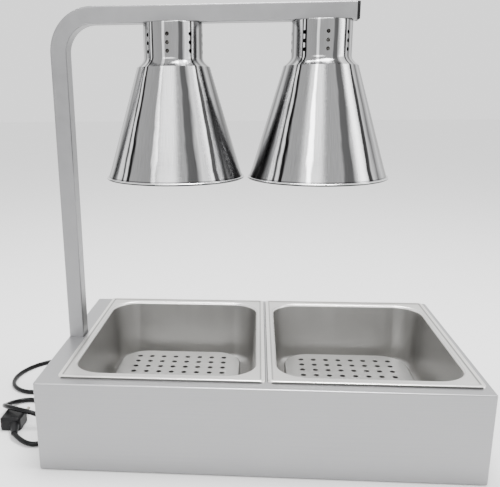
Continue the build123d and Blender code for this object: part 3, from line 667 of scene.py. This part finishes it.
# --- lamp shades ----------------------------------------------------------------------------
def shade_outline(s, top):
    """The closed outline of a shade's wall: fold, collar, flare, crease, skirt and rolled lip."""
    corner = (s.collar_radius - s.top_fold, top - s.top_fold)
    flare_foot = (s.crease_radius, top - s.crease_drop)
    flare_top = (s.collar_radius, top - s.collar_drop)
    fall = flare_top[1] - flare_foot[1]
    spread = flare_foot[0] - flare_top[0]
    flare_rows = 10
    flare_curve = 1.9  # 1 is a straight flare, more is a hollower one
    flare = [
        (
            flare_top[0] + spread * (i / flare_rows) ** flare_curve,
            flare_top[1] - fall * i / flare_rows,
        )
        for i in range(1, flare_rows + 1)
    ]
    outer = [(s.bore_radius, top), (s.collar_radius * 0.5, top)]
    outer += arc(corner, s.top_fold, 90, 0, 6)
    outer += [(s.collar_radius, top - s.collar_drop * k) for k in (0.25, 0.5, 0.75, 1.0)]
    outer += flare
    skirt_foot = (s.skirt_radius, top - s.skirt_drop)
    skirt_rows = 12
    outer += [
        (
            flare_foot[0] + (skirt_foot[0] - flare_foot[0]) * k / skirt_rows,
            flare_foot[1] + (skirt_foot[1] - flare_foot[1]) * k / skirt_rows,
        )
        for k in range(1, skirt_rows + 1)
    ]
    inner = parallel(outer, s.sheet)
    bead_centre = (s.skirt_radius + s.bead_radius, top - s.skirt_drop - s.bead_radius * BEAD_DROP)
    bead = arc(bead_centre, s.bead_radius, 128, -205, 22)
    return outer[:-1] + bead + inner[::-1][1:]


def vent_tree():
    """A node tree that cuts rows and columns of round vent holes through a collar."""
    tree = bpy.data.node_groups.new("Vent holes", "GeometryNodeTree")
    face = tree.interface
    face.new_socket("Geometry", in_out="INPUT", socket_type="NodeSocketGeometry")
    for name, kind in (
        ("Collar radius", "NodeSocketFloat"),
        ("Vent radius", "NodeSocketFloat"),
        ("Depth", "NodeSocketFloat"),
        ("Columns", "NodeSocketInt"),
        ("Rows", "NodeSocketInt"),
        ("Row step", "NodeSocketVector"),
        ("First row", "NodeSocketVector"),
        ("Turn", "NodeSocketVector"),
        ("Finish", "NodeSocketMaterial"),
    ):
        face.new_socket(name, in_out="INPUT", socket_type=kind)
    face.new_socket("Geometry", in_out="OUTPUT", socket_type="NodeSocketGeometry")
    nodes = tree.nodes
    ins = nodes.new("NodeGroupInput").outputs

    def join(source, node, socket):
        tree.links.new(source, node.inputs[socket])

    ring = nodes.new("GeometryNodeMeshCircle")
    join(ins["Columns"], ring, "Vertices")
    join(ins["Collar radius"], ring, "Radius")
    drill = nodes.new("GeometryNodeMeshCylinder")
    drill.inputs["Vertices"].default_value = VENT_FACETS
    join(ins["Vent radius"], drill, "Radius")
    join(ins["Depth"], drill, "Depth")
    place = nodes.new("GeometryNodeInputPosition")
    outward = nodes.new("FunctionNodeAlignRotationToVector")
    outward.axis = "Z"
    join(place.outputs[0], outward, "Vector")
    row = nodes.new("GeometryNodeInstanceOnPoints")
    join(ring.outputs["Mesh"], row, "Points")
    join(drill.outputs["Mesh"], row, "Instance")
    join(outward.outputs[0], row, "Rotation")
    stack = nodes.new("GeometryNodeMeshLine")
    join(ins["Rows"], stack, "Count")
    join(ins["Row step"], stack, "Offset")
    rows = nodes.new("GeometryNodeInstanceOnPoints")
    join(stack.outputs["Mesh"], rows, "Points")
    join(row.outputs["Instances"], rows, "Instance")
    placed = nodes.new("GeometryNodeTransform")
    join(rows.outputs["Instances"], placed, "Geometry")
    join(ins["First row"], placed, "Translation")
    join(ins["Turn"], placed, "Rotation")
    cutters = nodes.new("GeometryNodeRealizeInstances")
    join(placed.outputs["Geometry"], cutters, "Geometry")
    cut = nodes.new("GeometryNodeMeshBoolean")
    cut.operation = "DIFFERENCE"
    cut.solver = "EXACT"
    join(ins["Geometry"], cut, "Mesh 1")
    join(cutters.outputs["Geometry"], cut, "Mesh 2")
    real = nodes.new("GeometryNodeRealizeInstances")
    join(cut.outputs["Mesh"], real, "Geometry")
    finish = nodes.new("GeometryNodeSetMaterial")
    join(real.outputs["Geometry"], finish, "Geometry")
    join(ins["Finish"], finish, "Material")
    join(finish.outputs["Geometry"], nodes.new("NodeGroupOutput"), "Geometry")
    return tree


def with_tree(piece, tree, values):
    """Adds a node tree to a piece and sets its named inputs."""
    modifier = piece.modifiers.new(tree.name, "NODES")
    modifier.node_group = tree
    for socket in tree.interface.items_tree:
        if socket.in_out == "INPUT" and socket.name in values:
            modifier[socket.identifier] = values[socket.name]


class WARMER_OT_shades(bpy.types.Operator):
    """Spins both lamp shades and drills their vent holes"""

    bl_idname = "warmer.shades"
    bl_label = "Lamp shades"

    def execute(self, context):
        s = context.scene.warmer_shade
        metal = context.scene.warmer_finish.shade_metal
        tree = vent_tree()
        for side, turn in zip(SIDES, (s.left_turn, s.right_turn)):
            node = f"{side}_shade"
            axis_x = middle(node).x
            top = top_of(node)
            outline = shade_outline(s, top)
            material = spun_metal(f"{side}_spun_metal", tuple(metal), axis_x, s, top)
            draft = link(lathe(outline, axis_x, s.segments), f"{node}_draft")
            with_tree(
                draft,
                tree,
                {
                    "Collar radius": s.collar_radius,
                    "Vent radius": s.vent_radius,
                    "Depth": 8 * s.sheet,
                    "Columns": s.vent_columns,
                    "Rows": s.vent_rows,
                    "Row step": (0.0, 0.0, -s.vent_pitch),
                    "First row": (axis_x, 0.0, top - s.vent_drop),
                    "Turn": (0.0, 0.0, turn),
                    "Finish": material,
                },
            )
            bpy.context.view_layer.update()
            piece = settled(draft, f"{side}_spun_shade")
            crease(piece.data, degrees=24)
            finished(piece, node, material)
        return {"FINISHED"}


# --- sheet metal ----------------------------------------------------------------------------
class WARMER_OT_metalwork(bpy.types.Operator):
    """Finishes the base, its bottom plate and the bent lamp post"""

    bl_idname = "warmer.metalwork"
    bl_label = "Base and post"

    def execute(self, context):
        colours = context.scene.warmer_finish
        base = brushed_metal(
            "brushed_base", tuple(colours.base_steel), (4, 700, 700), top=top_of("base_shell")
        )
        smooth_copy("base_shell", base)
        smooth_copy("bottom_plate", base)
        post = brushed_metal("satin_tube", tuple(colours.arm_steel), (60, 700, 60), (0.34, 0.46))
        smooth_copy("lamp_post", post, degrees=20)
        return {"FINISHED"}


class WARMER_OT_pans(bpy.types.Operator):
    """Finishes the pressed food pans and their drain grates"""

    bl_idname = "warmer.pans"
    bl_label = "Pans and grates"

    def execute(self, context):
        colours = context.scene.warmer_finish
        grate = pressed_steel("pressed_grate", tuple(colours.grate_steel), (0.30, 0.42))
        for side in SIDES:
            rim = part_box(f"{side}_pan")
            pan = pressed_steel(f"{side}_pressed_pan", tuple(colours.pan_steel), (0.34, 0.46), rim)
            smooth_copy(f"{side}_pan", pan)
            smooth_copy(f"{side}_grate", grate)
        return {"FINISHED"}


# --- lamps ----------------------------------------------------------------------------------
class WARMER_OT_lamps(bpy.types.Operator):
    """Finishes the lamp holders, the bulbs and what hangs the shades"""

    bl_idname = "warmer.lamps"
    bl_label = "Lamp holders and bulbs"

    def execute(self, context):
        colours = context.scene.warmer_finish
        ceramic = moulded(
            "lamp_holder_ceramic",
            tuple(colours.ceramic),
            rough=0.22,
            grain_scale=300,
            depth=0.02 * MM,
            coat=0.4,
        )
        brass = plain_metal("lamp_brass", tuple(colours.brass), 0.25)
        steel = plain_metal("small_steel", (0.55, 0.55, 0.56), 0.3)
        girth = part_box("left_bulb")[0][2] + GIRTH_RISE
        glass = reflector_glass("reflector_glass", tuple(colours.glass), girth)
        wire = plain_metal("filament_wire", (0.32, 0.32, 0.34), 0.35)
        for side in SIDES:
            smooth_copy(f"{side}_socket", ceramic)
            smooth_copy(f"{side}_bulb", glass, degrees=40)
            smooth_copy(f"{side}_filament", wire)
            for piece in ("screw_shell", "centre_contact", "bulb_cap"):
                smooth_copy(f"{side}_{piece}", brass)
            for piece in ("nipple", "locknuts"):
                smooth_copy(f"{side}_{piece}", steel)
        return {"FINISHED"}


# --- small fittings -------------------------------------------------------------------------
class WARMER_OT_fittings(bpy.types.Operator):
    """Finishes the cap, switch, gland, feet, wiring and fasteners"""

    bl_idname = "warmer.fittings"
    bl_label = "Fittings and fasteners"

    def execute(self, context):
        colours = context.scene.warmer_finish
        plastic = moulded("black_plastic", tuple(colours.plastic), rough=0.36, shine=0.16)
        gloss = moulded(
            "rocker_plastic",
            tuple(colours.plastic),
            rough=0.22,
            grain_scale=1200,
            depth=0.01 * MM,
            coat=0.1,
            shine=0.2,
        )
        rubber = moulded("foot_rubber", (0.02, 0.02, 0.02), rough=0.62, grain_scale=700)
        sleeve = moulded(
            "wire_sleeve", (0.42, 0.40, 0.36), rough=0.55, grain_scale=1600, depth=0.1 * MM
        )
        steel = plain_metal("fastener_steel", (0.56, 0.56, 0.57), 0.3)
        brass = plain_metal("pin_metal", (0.62, 0.58, 0.48), 0.25)
        groups = (
            (plastic, ("arm_end_cap", "switch_body", "strain_relief", "gland_nut")),
            (plastic, ("terminal_block", "power_plug", "cord_tie")),
            (gloss, ("switch_rocker",)),
            (rubber, ("rubber_feet", "post_grommet")),
            (sleeve, ("lamp_harness", "supply_lead", "switch_leads")),
            (steel, ("bottom_screws", "post_bolts", "post_nuts", "earth_stud", "earth_nut")),
            (steel, ("terminal_screws",)),
            (brass, ("plug_pins",)),
        )
        for material, nodes in groups:
            for node in nodes:
                smooth_copy(node, material)
        return {"FINISHED"}


# --- power cord -----------------------------------------------------------------------------
def coil_points(c):
    """The tied coil's turns: upper outer, upper inner, lower inner, then lower outer."""
    centre = Vector(c.coil_centre)
    half = c.diameter / 2
    lanes = (
        (c.coil_radius + half, 3 * half),
        (c.coil_radius - half, 3 * half),
        (c.coil_radius - half, half),
        (c.coil_radius + half, half),
    )
    start = 2 * pi + atan2(COIL_ENTRY[1], COIL_ENTRY[0])
    end = 8 * pi + atan2(COIL_EXIT[1], COIL_EXIT[0])
    count = round((end - start) / (2 * pi) * c.points_per_turn)
    change = 0.14  # part of a turn in which the cord moves to the next lane
    points = []
    for i in range(count + 1):
        turn = start + (end - start) * i / count
        done = (turn - start) / (2 * pi)
        lane = min(int(done), 3)
        part = min((done - lane) / change, 1.0)
        ease = part * part * (3 - 2 * part)
        before = lanes[max(lane - 1, 0)]
        radius = before[0] + (lanes[lane][0] - before[0]) * ease
        height = before[1] + (lanes[lane][1] - before[1]) * ease
        points.append((centre.x + radius * cos(turn), centre.y + radius * sin(turn), height))
    return points


class WARMER_OT_cord(bpy.types.Operator):
    """Lays the power cord: gland, tied coil, loops along the bench and plug"""

    bl_idname = "warmer.cord"
    bl_label = "Power cord"

    def execute(self, context):
        c = context.scene.warmer_cord
        points = [*LEAD_IN_POINTS, *coil_points(c), *TAIL_POINTS]
        curve = bpy.data.curves.new("power_cord_line", "CURVE")
        curve.dimensions = "3D"
        curve.bevel_depth = c.diameter / 2
        curve.bevel_resolution = 6
        curve.use_fill_caps = True
        spline = curve.splines.new("NURBS")
        spline.points.add(len(points) - 1)
        for point, place in zip(spline.points, points):
            point.co = (*place, 1)
        spline.order_u = 3
        spline.use_endpoint_u = True
        spline.resolution_u = 10
        black = tuple(context.scene.warmer_finish.jacket)
        jacket = moulded(
            "cord_jacket", black, rough=0.26, grain_scale=1500, depth=0.03 * MM, shine=0.16
        )
        curve.materials.append(jacket)
        piece = bpy.data.objects.new("power_cord_line", curve)
        context.scene.collection.objects.link(piece)
        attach(piece, "base")
        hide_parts("cord_lead_in", "cord_coil", "power_cord")
        return {"FINISHED"}


# --- stage ----------------------------------------------------------------------------------
def area_light(name, place, target, size, power):
    """A soft rectangular light that faces a point."""
    data = bpy.data.lights.new(name, "AREA")
    data.shape = "RECTANGLE"
    data.size, data.size_y = size
    data.energy = power
    light = bpy.data.objects.new(name, data)
    bpy.context.scene.collection.objects.link(light)
    light.location = place
    light.rotation_euler = (Vector(target) - Vector(place)).to_track_quat("-Z", "Y").to_euler()


class WARMER_OT_stage(bpy.types.Operator):
    """Sets the camera, the pale floor and the soft studio light"""

    bl_idname = "warmer.stage"
    bl_label = "Stage"

    def execute(self, context):
        s = context.scene.warmer_stage
        data = bpy.data.cameras.new("Camera")
        camera = bpy.data.objects.new("Camera", data)
        context.scene.collection.objects.link(camera)
        context.scene.camera = camera
        data.sensor_width = 36
        data.lens = s.lens
        data.shift_x = s.shift_x
        data.shift_y = s.shift_y
        data.clip_end = 100
        ahead = Vector((sin(s.yaw) * cos(s.pitch), cos(s.yaw) * cos(s.pitch), -sin(s.pitch)))
        turned = ahead.to_track_quat("-Z", "Y") @ Quaternion((0, 0, 1), s.roll)
        camera.matrix_world = Matrix.Translation(s.eye) @ turned.to_matrix().to_4x4()

        graph = Graph("pale_floor")
        speckle = graph.noise((6, 6, 6), 3.0)
        floor_colour = tuple(s.floor_colour)
        floor_material = graph.finish(
            Base_Color=graph.blend(speckle, scaled(floor_colour, 0.99), floor_colour),
            Roughness=0.8,
        )
        mesh = bpy.data.meshes.new("Floor")
        reach = 12
        mesh.from_pydata(
            [(-reach, -reach, 0), (reach, -reach, 0), (reach, reach, 0), (-reach, reach, 0)],
            [],
            [(0, 1, 2, 3)],
        )
        mesh.materials.append(floor_material)
        link(mesh, "Floor")

        world = bpy.data.worlds.new("Studio")
        context.scene.world = world
        world.use_nodes = True
        background = world.node_tree.nodes["Background"]
        background.inputs["Color"].default_value = (1, 1, 1, 1)
        background.inputs["Strength"].default_value = s.sky
        aim = (0, 0, 0.25)
        area_light("Front key", (-0.5, -2.2, 1.9), aim, (1.6, 1.0), 30)
        area_light("Overhead", (0.1, 0.1, 1.9), aim, (1.2, 0.5), 56)
        area_light("Right side", (2.1, -0.4, 0.9), aim, (0.5, 1.8), 10)
        return {"FINISHED"}


# --- panel and registration -----------------------------------------------------------------
STEPS = (
    WARMER_OT_stage,
    WARMER_OT_fittings,
    WARMER_OT_cord,
    WARMER_OT_shades,
    WARMER_OT_metalwork,
    WARMER_OT_pans,
    WARMER_OT_lamps,
)
SETTINGS = {
    "warmer_stage": WarmerStageSettings,
    "warmer_shade": WarmerShadeSettings,
    "warmer_cord": WarmerCordSettings,
    "warmer_finish": WarmerFinishSettings,
}


class WARMER_PT_panel(bpy.types.Panel):
    """Sidebar list of the warmer's settings and steps"""

    bl_idname = "WARMER_PT_panel"
    bl_label = "Heat Lamp Warmer"
    bl_space_type = "VIEW_3D"
    bl_region_type = "UI"
    bl_category = "Warmer"

    def draw(self, context):
        for name, group in SETTINGS.items():
            box = self.layout.box()
            for key in group.__annotations__:
                box.prop(getattr(context.scene, name), key)
        for step in STEPS:
            self.layout.operator(step.bl_idname)


def register():
    """Registers the settings, the operators and the panel."""
    for name, group in SETTINGS.items():
        bpy.utils.register_class(group)
        setattr(bpy.types.Scene, name, PointerProperty(type=group))
    for made in (*STEPS, WARMER_PT_panel):
        bpy.utils.register_class(made)


def unregister():
    """Takes everything that register() added away again."""
    for made in reversed((*STEPS, WARMER_PT_panel)):
        bpy.utils.unregister_class(made)
    for name, group in SETTINGS.items():
        delattr(bpy.types.Scene, name)
        bpy.utils.unregister_class(group)


def main():
    """Builds every piece."""
    register()
    for step in STEPS:
        group, name = step.bl_idname.split(".")
        getattr(getattr(bpy.ops, group), name)()


if __name__ == "__main__":
    main()
